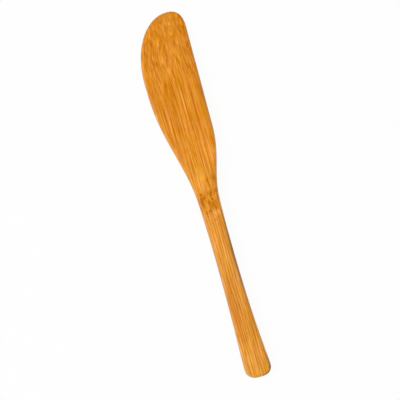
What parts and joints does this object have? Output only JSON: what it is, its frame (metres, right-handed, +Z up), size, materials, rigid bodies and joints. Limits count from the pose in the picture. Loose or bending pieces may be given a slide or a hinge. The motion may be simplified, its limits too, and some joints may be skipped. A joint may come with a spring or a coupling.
{
  "type": "bamboo spatula",
  "caption": "Small one-piece bamboo spatula with a thinned blade, curved on one edge and straight on the other, for spreading, mixing and scraping.",
  "frame": {"origin": "middle of the bounding box, on the plane of the flat back", "axes": "+Y along the length from the butt to the tip, +X towards the straight spine edge, +Z up out of the thinned front"},
  "size_m": [0.0283, 0.19, 0.0056],
  "materials": {
    "bamboo": "carbonised bamboo, sanded and oiled to a satin sheen"
  },
  "bodies": {
    "root": {"spatula": "bamboo"}
  },
  "joints": []
}
